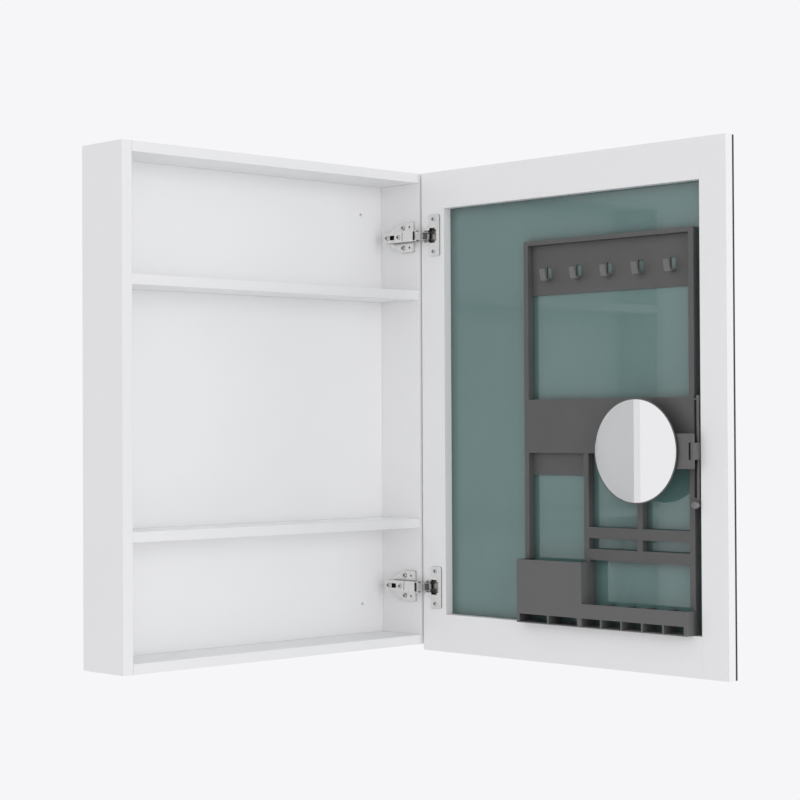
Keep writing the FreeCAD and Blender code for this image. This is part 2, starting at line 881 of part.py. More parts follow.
# the cup: a flanged pot let into the door, open towards the door's edge where the links come out
def hinge_cup(label, level):
    body = new_body(label)
    half_flange = s.flange_span / 2
    half_mouth = arm_half + s.link_play
    cup_far = s.side_board + s.arm_rise + s.cup_far_play

    def flange(sketch):
        rectangle(sketch, s.flange_start, -half_flange, s.flange_end, half_flange)

    def pot(sketch):
        circle(sketch, (s.cup_setback, as_dim(0)), s.cup_diameter / 2)

    def mouth(sketch):
        rectangle(sketch, s.cup_mouth_start, -half_mouth, cup_far, half_mouth)

    def well(sketch):
        rectangle(sketch, s.cup_well_start, -s.cup_well_span / 2, s.cup_well_end, s.cup_well_span / 2)

    def notch(sketch):
        rectangle(sketch, as_dim(0), -half_mouth, s.cup_well_start, half_mouth)

    def screws(sketch):
        for end in (-1, 1):
            place = (s.cup_screw_setback, end * s.cup_screw_span / 2)
            circle(sketch, place, s.cup_screw_diameter / 2 + s.dowel_play)

    slab(body, flange, -s.flange_sheet, as_dim(0))
    round_edges(body, y_way, s.flange_corner)
    slab(body, pot, as_dim(0), s.cup_depth)
    inside = s.cup_depth - s.cup_floor + s.flange_sheet
    sink(body, mouth, -s.flange_sheet, inside)
    sink(body, well, -s.flange_sheet, inside)
    sink(body, notch, -s.flange_sheet, s.cup_notch_depth + s.flange_sheet)
    sink(body, screws, -s.flange_sheet - s.overrun, s.flange_sheet + 2 * s.overrun)
    pins = sketch_on(body, "XY_Plane", as_dim(0))
    circle(pins, (s.cup_pin_setback, s.cup_pin_depth), pin_radius + s.pin_press)
    pocket(body, pins, 2 * (half_mouth + s.cup_pin_grip + s.pin_running), both_ways=True)
    on_door(body, level=level)


for level_name, level in hinge_levels.items():
    mounting_plate(f"{level_name}_hinge_plate", level)
    hinge_arm(f"{level_name}_hinge_arm", level)
    outer_link(f"{level_name}_outer_link", level)
    inner_link(f"{level_name}_inner_link", level)
    hinge_cup(f"{level_name}_hinge_cup", level)


# a pan-head screw along one axis, its head starting at the given place
def pan_screw(name, place, axis, head, head_height, diameter, length):
    cap = cylinder(f"{name}_head", place, axis, head / 2, head_height)
    shank = cylinder(f"{name}_shank", place, axis, diameter / 2, head_height + length)
    return fuse(name, [cap, shank])


plate_screws = []
arm_screws = []
arm_pins = []
inner_link_pins = []
cup_screws = []
cup_pins = []
for level_name, level in hinge_levels.items():
    for end in (-1, 1):
        head_x = inner_side - s.plate_sheet - s.hinge_screw_head_height
        place = (head_x, plate_screw_depth, level + end * s.plate_screw_span / 2)
        length = s.hinge_screw_length + s.plate_sheet
        plate_screws.append(
            pan_screw(
                f"{level_name}_plate_screw",
                place,
                "x",
                s.hinge_screw_head,
                s.hinge_screw_head_height,
                s.hinge_screw_diameter,
                length,
            )
        )
        height = level + end * s.cup_screw_span / 2
        cup_screws.append(
            pan_screw(
                f"{level_name}_cup_screw",
                (s.cup_screw_setback, -s.flange_sheet - s.cup_screw_head_height, height),
                "y",
                s.cup_screw_head,
                s.cup_screw_head_height,
                s.cup_screw_diameter,
                s.cup_screw_length + s.flange_sheet,
            )
        )
        pin_start = inner_half + s.link_play
        pin_length = arm_half + s.link_play + s.cup_pin_grip - pin_start
        low = level + pin_start if end > 0 else level - pin_start - pin_length
        cup_pins.append(
            cylinder(
                f"{level_name}_cup_pin",
                (s.cup_pin_setback, s.cup_pin_depth, low),
                "z",
                pin_radius,
                pin_length,
            )
        )
    for depth in (s.clamp_screw_depth, s.side_screw_depth):
        head_x = inner_side - s.arm_rise - s.hinge_screw_head_height
        arm_screws.append(
            pan_screw(
                f"{level_name}_arm_screw",
                (head_x, depth - s.carcass_depth, level),
                "x",
                s.hinge_screw_head,
                s.hinge_screw_head_height,
                s.hinge_screw_diameter,
                s.arm_sheet + s.clamp_screw_length,
            )
        )
    for x, y in (arm_pin_place, inner_pin_place):
        place = (inner_side + x, y - s.carcass_depth, level - arm_half)
        arm_pins.append(cylinder(f"{level_name}_arm_pin", place, "z", pin_radius, s.arm_width))
    stub_x = inner_side + s.open_shift + s.inner_cup_depth
    stub_y = door_y - s.inner_cup_setback
    stub_place = (stub_x, stub_y, level - stub_half)
    inner_link_pins.append(
        cylinder(f"{level_name}_inner_pin", stub_place, "z", s.stub_diameter / 2, 2 * stub_half)
    )
keep(group("hinge_plate_screws", plate_screws), "hinge_plate_screws")
keep(group("hinge_arm_screws", arm_screws), "hinge_arm_screws")
keep(group("hinge_arm_pins", arm_pins), "hinge_arm_pins")
keep(group("inner_link_pins", inner_link_pins), "inner_link_pins")
on_door(keep(group("hinge_cup_screws", cup_screws), "hinge_cup_screws"))
on_door(keep(group("hinge_cup_pins", cup_pins), "hinge_cup_pins"))

# DOOR
# rails butt between full-height stiles on pairs of dowels
rail_levels = {
    "top_rail": recess_top + s.door_rail_width / 2,
    "bottom_rail": door_bottom + s.door_rail_width / 2,
}
stile_joints = {"hinge_stile": recess_start, "free_stile": recess_end}


def frame_dowels(name, joints, levels, play):
    items = []
    for joint in joints:
        for level in levels:
            for share in rail_dowel_shares:
                place = (
                    joint - s.frame_dowel_length / 2 - play,
                    s.door_board / 2,
                    level + share * s.door_rail_width,
                )
                radius = s.frame_dowel_diameter / 2 + play
                items.append(cylinder(name, place, "x", radius, s.frame_dowel_length + 2 * play))
    return items


all_rail_levels = list(rail_levels.values())
dowels = frame_dowels("frame_dowel", stile_joints.values(), all_rail_levels, as_dim(0))
on_door(keep(group("door_frame_dowels", dowels), "door_frame_dowels"))

cup_bores = []
for level_name, level in hinge_levels.items():
    bore = (s.cup_setback, -s.overrun, level)
    bore_radius = s.cup_diameter / 2 + s.cup_play
    cup_bores.append(
        cylinder(f"{level_name}_cup_bore", bore, "y", bore_radius, s.cup_depth + s.cup_play + s.overrun)
    )
    for end in (-1, 1):
        pilot = (s.cup_screw_setback, -s.overrun, level + end * s.cup_screw_span / 2)
        radius = s.cup_screw_diameter / 2 + s.dowel_play
        length = s.cup_screw_length + s.dowel_play + s.overrun
        cup_bores.append(cylinder(f"{level_name}_cup_pilot", pilot, "y", radius, length))

for label, joint in stile_joints.items():
    start, end = (as_dim(0), recess_start) if label == "hinge_stile" else (recess_end, door_width)
    board = box(f"{label}_board", (start, as_dim(0), door_bottom), (end, s.door_board, half_height))
    cutters = frame_dowels(f"{label}_dowel_hole", [joint], all_rail_levels, s.dowel_play)
    if label == "hinge_stile":
        cutters += cup_bores
    on_door(keep(cut(label, board, cutters), label))

for label, level in rail_levels.items():
    half_rail = s.door_rail_width / 2
    board = box(
        f"{label}_board",
        (recess_start, as_dim(0), level - half_rail),
        (recess_end, s.door_board, level + half_rail),
    )
    cutters = frame_dowels(f"{label}_dowel_hole", stile_joints.values(), [level], s.dowel_play)
    on_door(keep(cut(label, board, cutters), label))

# the mirror pane covers the whole front, with a small ground arris all round
pane = new_body("door_mirror")
slab(
    pane,
    lambda sketch: rectangle(sketch, as_dim(0), door_bottom, door_width, half_height),
    s.door_board,
    s.door_board + s.mirror_thickness,
)
sheet_of_glass = pane.Tip
faces = sheet_of_glass.Shape.Faces
front_face = max(range(len(faces)), key=lambda number: faces[number].CenterOfMass.y)
arris = pane.newObject("PartDesign::Chamfer", "door_mirror_arris")
arris.Base = (sheet_of_glass, [f"Face{front_face + 1}"])
bind(arris, "Size", s.mirror_arris)
doc.recompute()
on_door(pane)

# ORGANISER
organiser_end = recess_end - s.organiser_side_gap
organiser_start = organiser_end - s.organiser_width
organiser_height = organiser_height_share * (recess_top - recess_bottom)
organiser_top = recess_bottom + organiser_height
organiser_front = s.door_board - s.organiser_depth
inside_start = organiser_start + s.left_bar
inside_end = organiser_end - s.right_bar
inside_top = organiser_top - s.top_bar
box_top = recess_bottom + s.box_height
tray_top = recess_bottom + s.tray_height
box_end = organiser_start + s.box_width
band_top = recess_bottom + band_top_share * organiser_height
band_bottom = band_top - s.band_height
bin_bottom = recess_bottom + s.bin_bottom
centre_start = organiser_start + s.centre_bar_start
centre_end = centre_start + s.centre_bar
middle_start = organiser_start + s.middle_bar_start
middle_end = middle_start + s.middle_bar
wall_back = organiser_front + s.moulding_wall
rod_setback = organiser_end + s.rod_side_gap
rod_bottom = recess_bottom + rod_bottom_share * organiser_height
rod_top = rod_bottom + s.rod_length
rod_radius = s.rod_diameter / 2

frame = new_body("organiser_frame")


# the three outer bars, one moulding that stands on the tray
def outer_bars(sketch):
    outline(
        sketch,
        [
            (organiser_start, box_top),
            (inside_start, box_top),
            (inside_start, inside_top),
            (inside_end, inside_top),
            (inside_end, tray_top),
            (organiser_end, tray_top),
            (organiser_end, organiser_top),
            (organiser_start, organiser_top),
        ],
    )


# the band over the pocket, and the two rails in front of the bins
def front_walls(sketch):
    rectangle(sketch, inside_start, band_bottom, inside_end, band_top)
    rectangle(sketch, centre_start, bin_bottom, inside_end, bin_bottom + s.bin_rail)
    upper_rail = bin_bottom + s.bin_rail + s.bin_window
    rectangle(sketch, centre_start, upper_rail, inside_end, upper_rail + s.bin_rail)


# the bars behind the front walls
def inner_bars(sketch):
    rectangle(sketch, centre_start, box_top, centre_end, band_bottom)
    rectangle(sketch, middle_start, bin_bottom, middle_end, band_bottom)


# the floors of the pocket and of the bins
def floors(sketch):
    rectangle(sketch, inside_start, band_bottom, inside_end, band_bottom + s.moulding_wall)
    rectangle(sketch, centre_end, bin_bottom, inside_end, bin_bottom + s.moulding_wall)


def pocket_plate(sketch):
    rectangle(sketch, inside_start, band_bottom - s.pocket_plate_drop, centre_start, band_top)


slab(frame, outer_bars, organiser_front, s.door_board)
top_value = organiser_top.value
front_value = organiser_front.value


def at_top(middle):
    return math.isclose(middle.z, top_value, abs_tol=Part.Precision.confusion())


def at_top_front(middle):
    return at_top(middle) and math.isclose(middle.y, front_value, abs_tol=Part.Precision.confusion())


round_edges(frame, y_way, s.organiser_corner, at_top)
round_edges(frame, x_way, s.organiser_round, at_top_front)
slab(frame, front_walls, organiser_front, wall_back)
slab(frame, inner_bars, organiser_front, s.door_board)
slab(frame, floors, organiser_front, s.door_board)
slab(frame, pocket_plate, s.door_board - s.hook_rail_sheet, s.door_board)

# lugs beside the right bar cradle the mirror's rod from behind, at its top and its foot
lug_edge = rod_setback + s.lug_reach
lug_front = s.rod_depth
foot_lug_bottom = rod_bottom + s.rod_seat - s.foot_lug_height
lug_levels = (
    (rod_top - s.rod_seat - s.lug_height, s.lug_height),
    (foot_lug_bottom, s.foot_lug_height),
)
for lug_bottom, lug_height in lug_levels:
    lug = sketch_on(frame, "XY_Plane", lug_bottom)
    rectangle(lug, organiser_end, lug_front, lug_edge, lug_front + s.lug_depth)
    pad(frame, lug, lug_height)
bore = sketch_on(frame, "XY_Plane", rod_top)
circle(bore, (rod_setback, s.rod_depth), rod_radius + s.pin_press)
pocket(frame, bore, s.rod_length)
knob_level = rod_bottom - s.knob_drop
knob_bore = sketch_on(frame, "XZ_Plane", -lug_front + s.overrun)
circle(knob_bore, (rod_setback, knob_level), s.knob_stem / 2 + s.pin_press)
pocket(frame, knob_bore, s.knob_stem_length + s.overrun)
on_door(frame)

# the hook rail: a thin plate with a window behind each moulded hook
hooks = new_body("organiser_hook_rail")
rail_bottom = inside_top - s.hook_rail_height
rail_front = s.door_board - s.hook_rail_sheet
sill = rail_bottom + s.hook_sill
first_hook = (inside_start + inside_end) / 2 - (hook_count - 1) / 2 * s.hook_spacing
half_hook = s.hook_width / 2
slab(
    hooks,
    lambda sketch: rectangle(sketch, inside_start, rail_bottom, inside_end, inside_top),
    rail_front,
    s.door_board,
)
window = sketch_on(hooks, "XZ_Plane", -rail_front)
rectangle(window, first_hook - half_hook, sill, first_hook + half_hook, sill + s.hook_window)
window_cut = pocket(hooks, window, s.hook_rail_sheet + s.overrun)
hook_tip = rail_front - s.hook_reach - s.hook_lean
hook_side = sketch_on(hooks, "YZ_Plane", first_hook - half_hook)
outline(
    hook_side,
    [
        (rail_front, sill - s.hook_base),
        (rail_front - s.hook_reach, sill - s.hook_base),
        (hook_tip, sill + s.hook_tongue),
        (hook_tip + s.hook_tongue_sheet, sill + s.hook_tongue),
        (rail_front - s.hook_reach + s.hook_tongue_sheet, sill),
        (rail_front, sill),
    ],
)
hook_pad = pad(hooks, hook_side, s.hook_width)
repeat(hooks, [window_cut, hook_pad], window, (hook_count - 1) * s.hook_spacing, hook_count)
on_door(hooks)

# the bottom tray: a tall box and a low tray behind one stepped front, divided into bays
tray = new_body("organiser_tray")
tray_front = -s.tray_projection
tray_inside = tray_front + s.tray_wall
double_start = box_end - 2 * s.tray_wall - s.double_wall_gap
box_first = organiser_start + s.left_post
box_bay = (double_start - box_first - (box_bay_count - 1) * s.tray_post) / box_bay_count
tray_last = organiser_end - s.right_post
tray_bay = (tray_last - box_end - (tray_bay_count - 1) * s.tray_post) / tray_bay_count
box_bays = [box_first + number * (box_bay + s.tray_post) for number in range(box_bay_count)]
tray_bays = [box_end + number * (tray_bay + s.tray_post) for number in range(tray_bay_count)]


def stepped_front(sketch):
    outline(
        sketch,
        [
            (organiser_start, recess_bottom),
            (organiser_end, recess_bottom),
            (organiser_end, tray_top),
            (box_end, tray_top),
            (box_end, box_top),
            (organiser_start, box_top),
        ],
    )


def upright_walls(sketch):
    walls = [
        (organiser_start, s.tray_wall, box_top),
        (double_start, s.tray_wall, box_top),
        (box_end - s.tray_wall, s.tray_wall, box_top),
        (organiser_end - s.tray_wall, s.tray_wall, tray_top),
    ]
    walls += [(start - s.tray_post, s.tray_post, box_top - s.box_divider_drop) for start in box_bays[1:]]
    walls += [(start - s.tray_post, s.tray_post, tray_top) for start in tray_bays[1:]]
    for start, thickness, top in walls:
        rectangle(sketch, start, recess_bottom, start + thickness, top)


def tray_floor(sketch):
    rectangle(sketch, organiser_start, recess_bottom, organiser_end, recess_bottom + s.tray_floor)


def bottom_windows(sketch):
    low = recess_bottom + s.tray_floor
    high = recess_bottom + s.tray_window
    for start in box_bays:
        rectangle(sketch, start, low, start + box_bay, high)
    for start in tray_bays:
        rectangle(sketch, start, low, start + tray_bay, high)


slab(tray, stepped_front, tray_front, tray_inside)
sink(tray, bottom_windows, tray_front - s.overrun, s.tray_wall + 2 * s.overrun)
slab(tray, upright_walls, tray_inside, s.door_board)
slab(tray, tray_floor, tray_inside, s.door_board)
on_door(tray)

# MAKE-UP MIRROR
rod = new_body("mirror_rod")
section = sketch_on(rod, "XY_Plane", as_dim(0))
circle(section, (as_dim(0), as_dim(0)), rod_radius)
pad(rod, section, s.rod_length)
on_door(rod, rod_setback, s.rod_depth, rod_bottom)

# the knob at the rod's foot, turned, on a neck whose stem is let into the lug
knob = new_body("rod_knob")
turned = sketch_on(knob, "XY_Plane", as_dim(0))
knob_radius = s.knob_diameter / 2
outline(
    turned,
    [
        (as_dim(0), s.knob_neck + s.knob_stem_length),
        (as_dim(0), -s.knob_length),
        (knob_radius - s.knob_round, -s.knob_length),
        (knob_radius, -s.knob_length + s.knob_round),
        (knob_radius, as_dim(0)),
        (s.knob_stem / 2, as_dim(0)),
        (s.knob_stem / 2, s.knob_neck + s.knob_stem_length),
    ],
)
revolve(knob, turned)
on_door(knob, rod_setback, lug_front - s.knob_neck, knob_level)

make_up_level = recess_bottom + make_up_level_share * organiser_height
bush_radius = rod_radius + s.pin_running + s.bush_wall
knuckle_bore = bush_radius + s.pin_running
knuckle_radius = knuckle_bore + s.knuckle_wall
half_knuckle = s.knuckle_height / 2

# the friction bush grips the rod; the knuckle turns on it, between its two collars
bush = new_body("mirror_slide_bush")
wall = sketch_on(bush, "XY_Plane", as_dim(0))
outline(
    wall,
    [
        (rod_radius + s.pin_running, -half_knuckle - s.bush_collar),
        (knuckle_radius, -half_knuckle - s.bush_collar),
        (knuckle_radius, -half_knuckle),
        (bush_radius, -half_knuckle),
        (bush_radius, half_knuckle),
        (knuckle_radius, half_knuckle),
        (knuckle_radius, half_knuckle + s.bush_collar),
        (rod_radius + s.pin_running, half_knuckle + s.bush_collar),
    ],
)
wall.AttachmentSupport = [(next(item for item in bush.Origin.OriginFeatures if item.Role == "XZ_Plane"), "")]
revolve(bush, wall)
on_door(bush, rod_setback, s.rod_depth, make_up_level)

# the bracket: a slotted plate, a strap back to the rod and the knuckle round the bush
bracket = new_body("mirror_bracket")
plate_far = -s.bracket_offset
plate_near = plate_far - s.bracket_sheet
half_bracket = s.bracket_height / 2
half_slot = s.bracket_slot_height / 2
slot_end = s.bracket_edge - s.bracket_slot_start
slab(
    bracket,
    lambda sketch: rectangle(
        sketch, s.bracket_edge - s.bracket_length, -half_bracket, s.bracket_edge, half_bracket
    ),
    plate_near,
    plate_far,
)
round_edges(bracket, y_way, s.bracket_corner)
barrel = sketch_on(bracket, "XY_Plane", as_dim(0))
circle(barrel, (as_dim(0), as_dim(0)), knuckle_radius)
strap = sketch_on(bracket, "XY_Plane", as_dim(0))
strap_end = s.bracket_edge - s.strap_inset
rectangle(strap, strap_end - s.strap_width, plate_near, strap_end, as_dim(0))
running_height = s.knuckle_height - 2 * s.pin_running
pad(bracket, strap, running_height, both_ways=True)
pad(bracket, barrel, running_height, both_ways=True)
running_bore = sketch_on(bracket, "XY_Plane", as_dim(0))
circle(running_bore, (as_dim(0), as_dim(0)), knuckle_bore)
pocket(bracket, running_bore, s.knuckle_height + s.overrun, both_ways=True)


def plate_cuts(sketch):
    rectangle(sketch, slot_end - s.bracket_slot_width, -half_slot, slot_end, half_slot)
    for end in (-1, 1):
        place = (s.bracket_edge - s.bracket_screw_start, end * s.bracket_screw_span / 2)
        circle(sketch, place, s.bracket_screw_diameter / 2 + s.pin_press)


sink(bracket, plate_cuts, plate_near - s.overrun, s.bracket_sheet + 2 * s.overrun)
on_door(bracket, rod_setback, s.rod_depth, make_up_level)

# the round housing is a shallow dish tapered to a thin rim, the glass a bevelled disc in it
mirror_radius = s.make_up_diameter / 2
glass_radius = mirror_radius - s.housing_wall - s.glass_play
make_up_setback = rod_setback - s.make_up_reach
housing_back = s.rod_depth + plate_near
dish_floor = -s.housing_depth + s.glass_thickness

housing = new_body("make_up_mirror_housing")
dish = sketch_on(housing, "XY_Plane", as_dim(0))
outline(
    dish,
    [
        (as_dim(0), as_dim(0)),
        (mirror_radius - s.housing_taper, as_dim(0)),
        (mirror_radius, -s.housing_taper),
        (mirror_radius, -s.housing_depth),
        (mirror_radius - s.housing_wall, -s.housing_depth),
        (mirror_radius - s.housing_wall, dish_floor),
        (as_dim(0), dish_floor),
    ],
)
revolve(housing, dish)
screw_taps = sketch_on(housing, "XZ_Plane", as_dim(0))
tap_setback = s.make_up_reach + s.bracket_edge - s.bracket_screw_start
tap_length = s.housing_depth - s.glass_thickness
for end in (-1, 1):
    place = (tap_setback, end * s.bracket_screw_span / 2)
    circle(screw_taps, place, s.bracket_screw_diameter / 2 + s.pin_press)
pocket(housing, screw_taps, 2 * tap_length + s.overrun, both_ways=True)
on_door(housing, make_up_setback, housing_back, make_up_level)

glass = new_body("make_up_mirror_glass")
disc = sketch_on(glass, "XY_Plane", as_dim(0))
outline(
    disc,
    [
        (as_dim(0), dish_floor),
        (glass_radius, dish_floor),
        (glass_radius, -s.housing_depth + s.glass_bevel),
        (glass_radius - s.glass_bevel, -s.housing_depth),
        (as_dim(0), -s.housing_depth),
    ],
)
revolve(glass, disc)
on_door(glass, make_up_setback, housing_back, make_up_level)

bracket_screws = []
for end in (-1, 1):
    head_depth = s.rod_depth + plate_far + s.bracket_screw_head_height
    place = (
        rod_setback + s.bracket_edge - s.bracket_screw_start,
        head_depth,
        make_up_level + end * s.bracket_screw_span / 2,
    )
    bracket_screws.append(
        pan_screw(
            "bracket_screw",
            place,
            "-y",
            s.bracket_screw_head,
            s.bracket_screw_head_height,
            s.bracket_screw_diameter,
            s.bracket_sheet + tap_length,
        )
    )
on_door(keep(group("mirror_bracket_screws", bracket_screws), "mirror_bracket_screws"))

# every piece is checked before any is written
doc.recompute()
for item in doc.Objects:
    if "Invalid" in item.State or "Error" in item.State:
        raise RuntimeError(f"{item.Label} failed: {item.State}")
for item in nodes:
    if item.Shape.isNull() or not item.Shape.isValid():
        raise RuntimeError(f"{item.Label} has no valid shape")

os.makedirs("parts", exist_ok=True)
for item in nodes:
    item.Shape.exportStep(f"parts/{item.Label}.step")
    bounds = item.Shape.BoundBox
    print(
        f"{item.Label}: {len(item.Shape.Solids)} solids, {item.Shape.Volume:.1f} mm3, "
        f"X {bounds.XMin:.1f} to {bounds.XMax:.1f}, "
        f"Y {bounds.YMin:.1f} to {bounds.YMax:.1f}, "
        f"Z {bounds.ZMin:.1f} to {bounds.ZMax:.1f}"
    )
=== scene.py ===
import json
import math

import bmesh
import bpy
from mathutils import Matrix, Vector


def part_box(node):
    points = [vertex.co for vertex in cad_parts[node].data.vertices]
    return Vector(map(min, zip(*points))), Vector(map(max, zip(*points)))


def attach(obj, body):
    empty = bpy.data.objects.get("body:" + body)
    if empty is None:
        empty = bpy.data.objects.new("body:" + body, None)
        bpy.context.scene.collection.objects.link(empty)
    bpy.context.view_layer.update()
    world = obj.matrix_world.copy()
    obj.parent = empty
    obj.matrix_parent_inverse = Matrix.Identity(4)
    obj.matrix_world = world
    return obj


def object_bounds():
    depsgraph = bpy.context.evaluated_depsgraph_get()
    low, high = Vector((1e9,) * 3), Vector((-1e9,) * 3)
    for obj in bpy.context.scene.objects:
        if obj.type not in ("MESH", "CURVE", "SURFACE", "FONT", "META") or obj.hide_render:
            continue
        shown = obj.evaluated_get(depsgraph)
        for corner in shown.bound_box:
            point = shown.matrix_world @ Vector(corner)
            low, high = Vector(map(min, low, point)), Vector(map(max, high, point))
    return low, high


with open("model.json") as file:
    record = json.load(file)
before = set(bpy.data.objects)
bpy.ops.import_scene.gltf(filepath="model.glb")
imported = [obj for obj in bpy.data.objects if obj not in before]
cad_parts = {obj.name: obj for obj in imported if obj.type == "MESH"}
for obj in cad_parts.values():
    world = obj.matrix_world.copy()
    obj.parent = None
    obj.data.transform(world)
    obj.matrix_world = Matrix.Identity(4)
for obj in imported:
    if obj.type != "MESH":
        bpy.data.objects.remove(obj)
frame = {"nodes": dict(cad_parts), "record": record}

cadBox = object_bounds()
nodes = frame["nodes"]
scene = bpy.context.scene
print("frame loaded:", len(nodes), "pieces")


# node helpers
def addNode(tree, kind, settings=None, sockets=None):
    node = tree.nodes.new(kind)
    for name, value in (settings or {}).items():
        setattr(node, name, value)
    for name, value in (sockets or {}).items():
        feed(tree, node.inputs[name], value)
    return node


def feed(tree, socket, value):
    if isinstance(value, Num):
        value = value.socket
    if isinstance(value, bpy.types.NodeSocket):
        tree.links.new(value, socket)
    else:
        socket.default_value = value


class Num:
    # a number in a node tree; sums with it become Math nodes
    def __init__(self, tree, socket):
        self.tree = tree
        self.socket = socket

    def join(self, kind, *terms):
        sockets = dict(enumerate(terms))
        node = addNode(self.tree, "ShaderNodeMath", {"operation": kind}, sockets)
        return Num(self.tree, node.outputs[0])

    def __add__(self, other):
        return self.join("ADD", self, other)

    def __sub__(self, other):
        return self.join("SUBTRACT", self, other)

    def __rsub__(self, other):
        return self.join("SUBTRACT", other, self)

    def __mul__(self, other):
        return self.join("MULTIPLY", self, other)

    def __gt__(self, other):
        return self.join("GREATER_THAN", self, other)

    def __lt__(self, other):
        return self.join("LESS_THAN", self, other)

    def __abs__(self):
        return self.join("ABSOLUTE", self)


socketNames = {
    "color": "Base Color",
    "rough": "Roughness",
    "metal": "Metallic",
    "normal": "Normal",
    "coat": "Coat Weight",
    "coatRough": "Coat Roughness",
}
sampling = {"eased": 4, "openness": 8}
rising = (0.0, 1.0)
falling = (1.0, 0.0)


class Paint:
    # one material: its tree, its shader and what feeds them
    def __init__(self, name):
        self.material = bpy.data.materials.new(name)
        self.material.use_nodes = True
        self.tree = self.material.node_tree
        self.tree.nodes.clear()
        self.shader = addNode(self.tree, "ShaderNodeBsdfPrincipled")
        self.out = addNode(self.tree, "ShaderNodeOutputMaterial")
        self.tree.links.new(self.shader.outputs[0], self.out.inputs["Surface"])
        self.texture = addNode(self.tree, "ShaderNodeTexCoord")
        self.coords = self.texture.outputs["Object"]

    def add(self, kind, settings=None, sockets=None):
        return addNode(self.tree, kind, settings, sockets)

    def axis(self, letter):
        parts = self.add("ShaderNodeSeparateXYZ", sockets={0: self.coords})
        return Num(self.tree, parts.outputs[letter])

    def facing(self, letter):
        # how far a face is turned to an axis, either way
        parts = self.add("ShaderNodeSeparateXYZ", sockets={0: self.texture.outputs["Normal"]})
        return abs(Num(self.tree, parts.outputs[letter]))

    def noise(self, scale, detail, place=None):
        sockets = {"Vector": place or self.coords, "Scale": scale, "Detail": detail}
        return Num(self.tree, self.add("ShaderNodeTexNoise", sockets=sockets).outputs[0])

    def streaks(self, scales, detail):
        # noise with a scale for each axis
        sockets = {"Vector": self.coords, "Scale": scales}
        place = self.add("ShaderNodeMapping", sockets=sockets).outputs[0]
        return self.noise(1.0, detail, place)

    def ramp(self, value, span, ends=rising):
        sockets = {"Value": value, 1: span[0], 2: span[1], 3: ends[0], 4: ends[1]}
        return Num(self.tree, self.add("ShaderNodeMapRange", sockets=sockets).outputs[0])

    def blend(self, share, first, second):
        # sockets 6 and 7 and output 2 are the colours of a Mix node
        sockets = {0: share, 6: first, 7: second}
        return self.add("ShaderNodeMix", {"data_type": "RGBA"}, sockets).outputs[2]

    def eased(self, radius):
        settings = {"samples": sampling["eased"]}
        return self.add("ShaderNodeBevel", settings, {"Radius": radius}).outputs[0]

    def edgeHighlight(self, eased, span):
        # one along edges, nothing on flat faces
        sockets = {0: eased, 1: self.add("ShaderNodeNewGeometry").outputs["Normal"]}
        alike = self.add("ShaderNodeVectorMath", {"operation": "DOT_PRODUCT"}, sockets)
        return self.ramp(Num(self.tree, alike.outputs["Value"]), span, falling)

    def openness(self, reach, samples=sampling["openness"]):
        node = self.add("ShaderNodeAmbientOcclusion", {"samples": samples}, {"Distance": reach})
        return Num(self.tree, node.outputs["AO"])

    def bump(self, height, depth, strength, over=None):
        sockets = {"Height": height, "Distance": depth, "Strength": strength}
        if over:
            sockets["Normal"] = over
        return self.add("ShaderNodeBump", sockets=sockets).outputs[0]

    def give(self, **sockets):
        for name, value in sockets.items():
            feed(self.tree, self.shader.inputs[socketNames[name]], value)


# satin lacquer on board: almost even, with a fine roller grain, painted shade as a duller strip
# on the front edges, and painted shade with a dark joint line where boards meet
board = {
    "pale": (0.925, 0.925, 0.930, 1),
    "dull": (0.917, 0.917, 0.922, 1),
    "cloudScale": 6.0,
    "cloudDetail": 3.0,
    "cloudSpan": (0.35, 0.65),
    "grainScale": 1400.0,
    "grainDetail": 2.0,
    "grainSpan": (0.3, 0.7),
    "grainDepth": 0.00002,
    "grainStrength": 0.5,
    "rough": (0.34, 0.44),
    "easedEdge": 0.0006,
    "frontEdgeShade": (0.857, 0.857, 0.862, 1),
    "stripFacing": 0.7,
    "seamShadeAndJoint": (0.52, 0.52, 0.525, 1),
    "seamShadeReach": 0.0022,
    "seamShadeSamples": 4,
    "seamShadeSpan": (0.3, 0.6),
    "jointLine": 0.0009,
    "jointShade": 0.6,
}


def boardPaint():
    paint = Paint("satinWhiteBoard")
    clouds = paint.noise(board["cloudScale"], board["cloudDetail"])
    grain = paint.noise(board["grainScale"], board["grainDetail"])
    skin = paint.blend(paint.ramp(clouds, board["cloudSpan"]), board["pale"], board["dull"])
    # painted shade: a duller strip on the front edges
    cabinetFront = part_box("left_side_panel")[0].y
    atFront = paint.axis("Y") < cabinetFront + board["easedEdge"]
    frontEdge = atFront * (paint.facing("Y") > board["stripFacing"])
    frontEdgeShaded = paint.blend(frontEdge, skin, board["frontEdgeShade"])
    low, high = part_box("top_panel")
    fromJoint = abs(abs(paint.axis("X")) - high.x)
    joint = paint.ramp(fromJoint, (0.0, board["jointLine"]), (board["jointShade"], 0.0))
    joint = joint * frontEdge * (abs(paint.axis("Z")) > low.z)
    # painted shade in the crevices where boards meet, plus a dark line at the joints on the front
    nearby = paint.openness(board["seamShadeReach"], board["seamShadeSamples"])
    seamShadeAndJoint = paint.ramp(nearby, board["seamShadeSpan"], falling) + joint
    eased = paint.eased(board["easedEdge"])
    paint.give(
        color=paint.blend(seamShadeAndJoint, frontEdgeShaded, board["seamShadeAndJoint"]),
        rough=paint.ramp(grain, board["grainSpan"], board["rough"]),
        normal=paint.bump(grain, board["grainDepth"], board["grainStrength"], eased),
    )
    return paint.material


# beech pegs, seen only when the boards come apart
beech = {
    "light": (0.60, 0.42, 0.24, 1),
    "dark": (0.42, 0.27, 0.14, 1),
    "grainScale": (900.0, 60.0, 900.0),
    "grainDetail": 3.0,
    "colorSpan": (0.35, 0.65),
    "roughSpan": (0.3, 0.7),
    "rough": (0.55, 0.7),
    "grainDepth": 0.0001,
    "grainStrength": 0.6,
}


